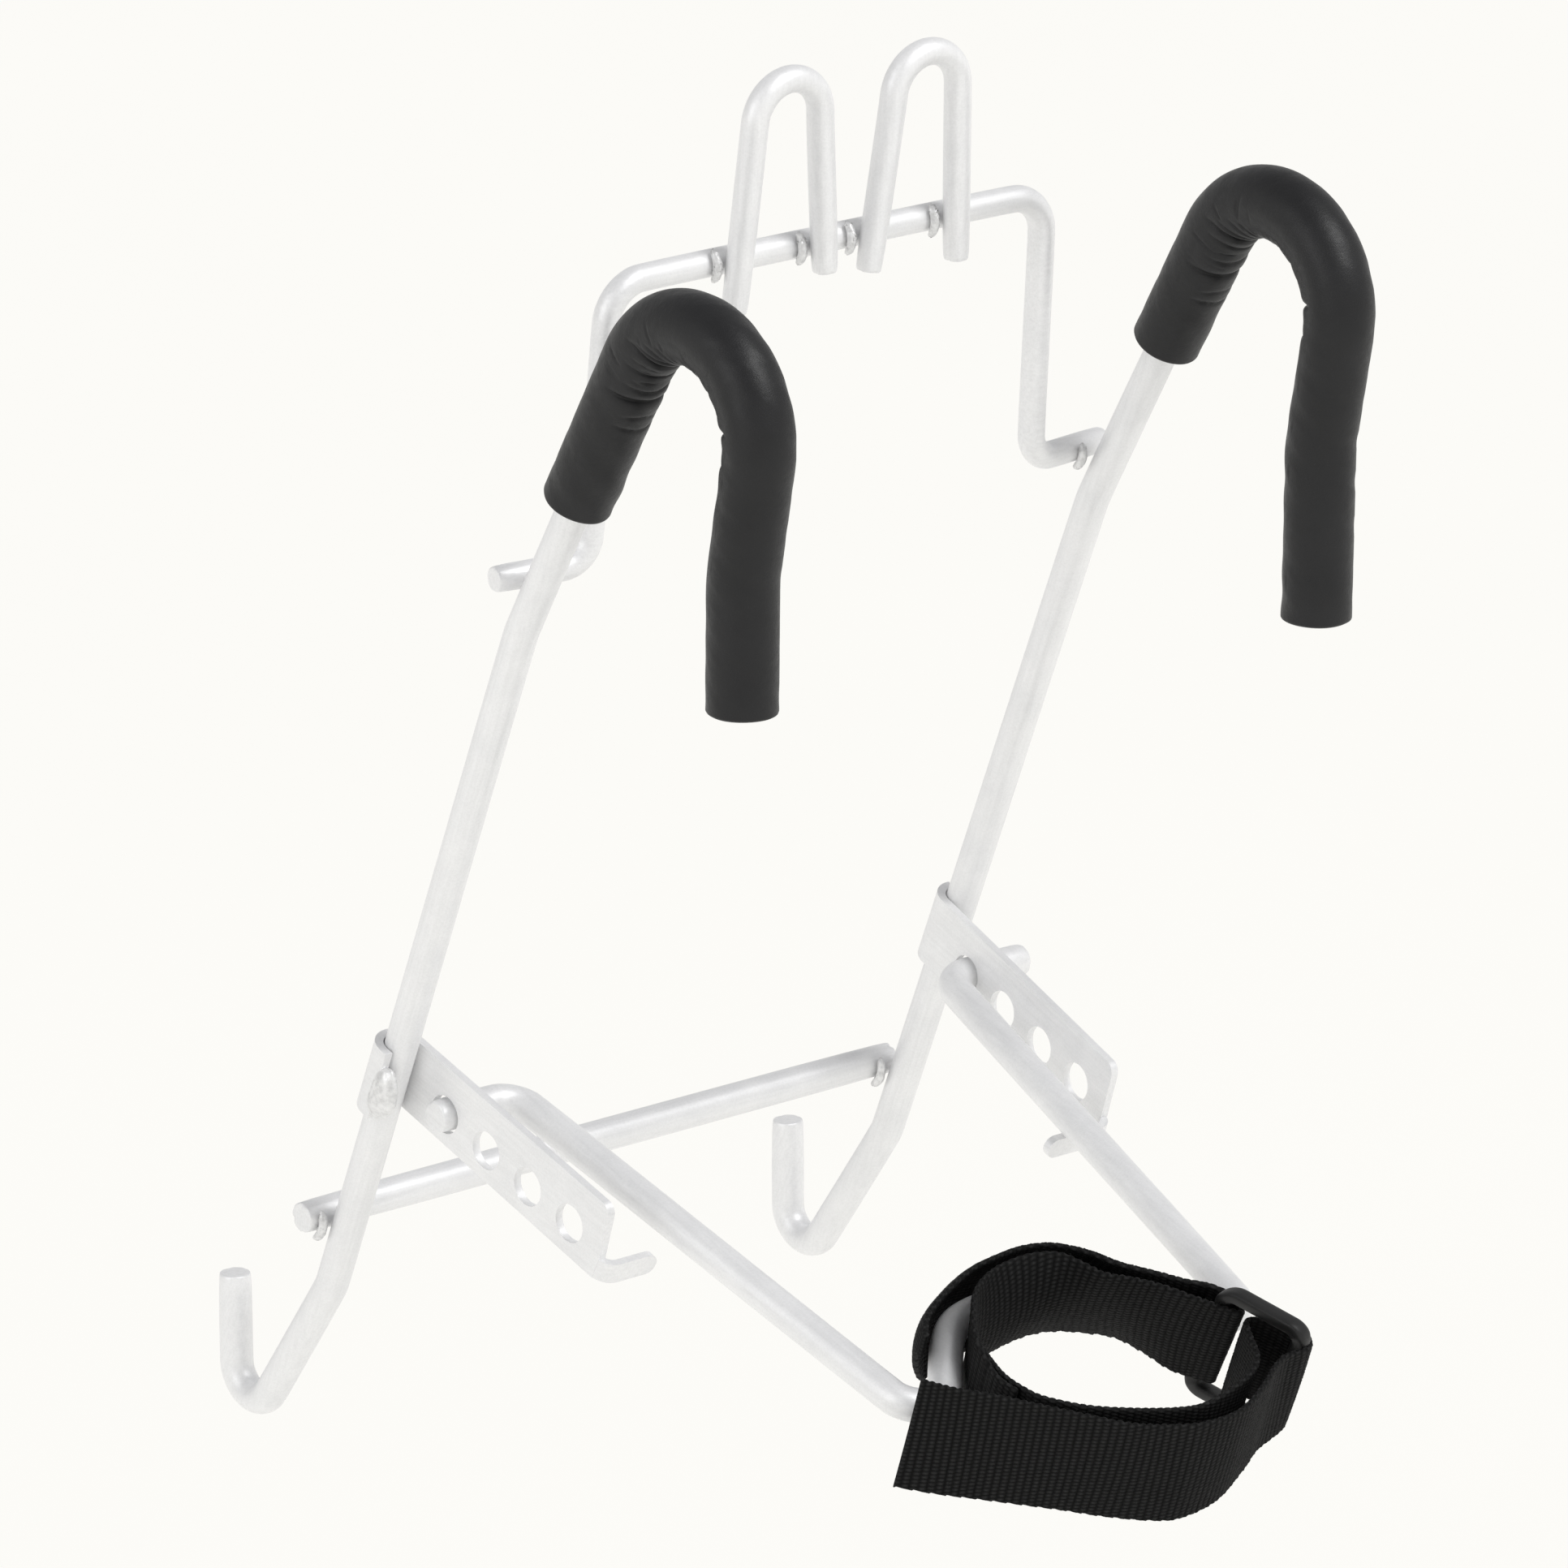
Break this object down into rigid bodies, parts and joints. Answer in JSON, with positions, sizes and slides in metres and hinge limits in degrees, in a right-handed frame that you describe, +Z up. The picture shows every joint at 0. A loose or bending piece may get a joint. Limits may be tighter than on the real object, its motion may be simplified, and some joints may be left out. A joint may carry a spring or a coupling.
{
  "type": "hanging bicycle rack",
  "caption": "Bent-wire bicycle rack: padded top hooks and bare lower hooks on side rods, a hat-shaped upper frame with loops, and a swinging strut with a cinch strap.",
  "frame": {"origin": "where the padded top hooks rest: the top of their inner gap, midway between the two", "axes": "+X along the crossbar, -Y towards the side that the padded tails and the strut face, +Z up"},
  "size_m": [0.233, 0.3177, 0.4213],
  "materials": {
    "zinc": "satin zinc plate",
    "weld": "plated weld bead",
    "foam": "matte closed-cell foam",
    "webbing": "woven webbing",
    "ring": "moulded, fine matte"
  },
  "bodies": {
    "carrier": {"side_rod_left": "zinc", "side_rod_right": "zinc", "crossbar": "zinc", "upper_frame": "zinc", "loop_left": "zinc", "loop_right": "zinc", "latch_plate_left": "zinc", "latch_plate_right": "zinc", "weld_crossbar_left": "weld", "weld_crossbar_right": "weld", "weld_upper_frame_left": "weld", "weld_upper_frame_right": "weld", "weld_loop_left_inner": "weld", "weld_loop_left_outer": "weld", "weld_loop_right_inner": "weld", "weld_loop_right_outer": "weld", "weld_latch_left": "weld", "weld_latch_right": "weld", "foam_sleeve_left": "foam", "foam_sleeve_right": "foam"},
    "strut_arm": {"strut": "zinc", "strap_start": "webbing", "strap_back": "webbing", "strap_front": "webbing", "strap_tail": "webbing", "strap_ring": "ring"}
  },
  "joints": [
    {"name": "strut_hinge", "type": "hinge", "parent": "carrier", "child": "strut_arm", "pos_m": [0, 0.121, -0.2483], "axis": [-1, 0, 0], "range_deg": [0, 75]}
  ]
}
